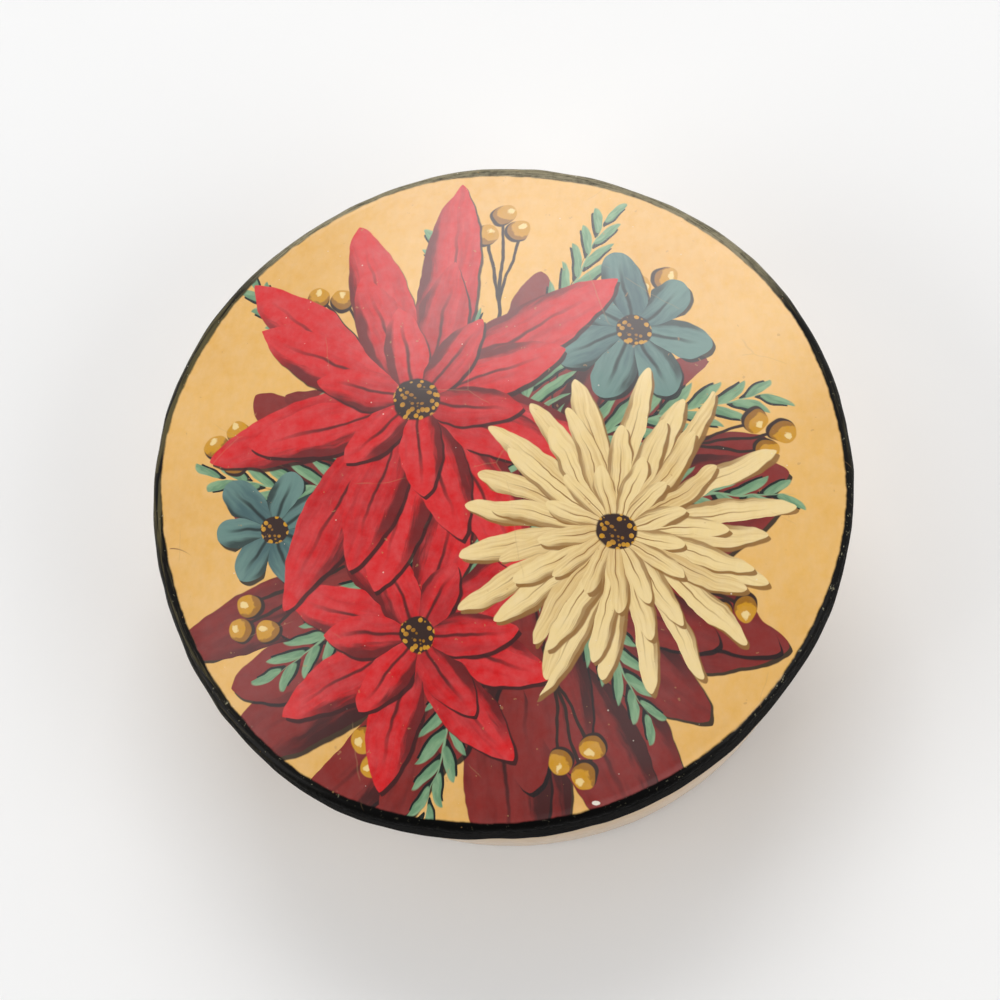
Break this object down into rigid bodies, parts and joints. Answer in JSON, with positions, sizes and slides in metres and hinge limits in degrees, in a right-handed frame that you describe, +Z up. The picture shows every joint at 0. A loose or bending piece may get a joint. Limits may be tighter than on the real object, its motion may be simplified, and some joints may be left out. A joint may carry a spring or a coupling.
{
  "type": "trinket box",
  "caption": "Round lacquered papier-mache trinket box with a domed, painted cap lid that lifts off a straight-sided base.",
  "frame": {"origin": "middle of the foot, on the surface that the box stands on", "axes": "+Z up along the axis of the round box, +X to the right and +Y away from the viewer of the lid's painting"},
  "size_m": [0.102, 0.102, 0.0387],
  "materials": {
    "ochre_lacquer": "ochre paint under gloss lacquer on papier-mache",
    "black_lacquer": "black gloss lacquer on papier-mache",
    "painted_lacquer": "hand painting under gloss lacquer on papier-mache",
    "felt": "matt wool felt"
  },
  "bodies": {
    "base": {"base_wall": "ochre_lacquer", "base_floor": "black_lacquer", "floor_lining": "felt"},
    "lid": {"lid_rim": "black_lacquer", "lid_panel": "painted_lacquer"}
  },
  "joints": [
    {"name": "lid_lift", "type": "slide", "parent": "base", "child": "lid", "axis": [0, 0, 1], "range_m": [0, 0.06]}
  ]
}
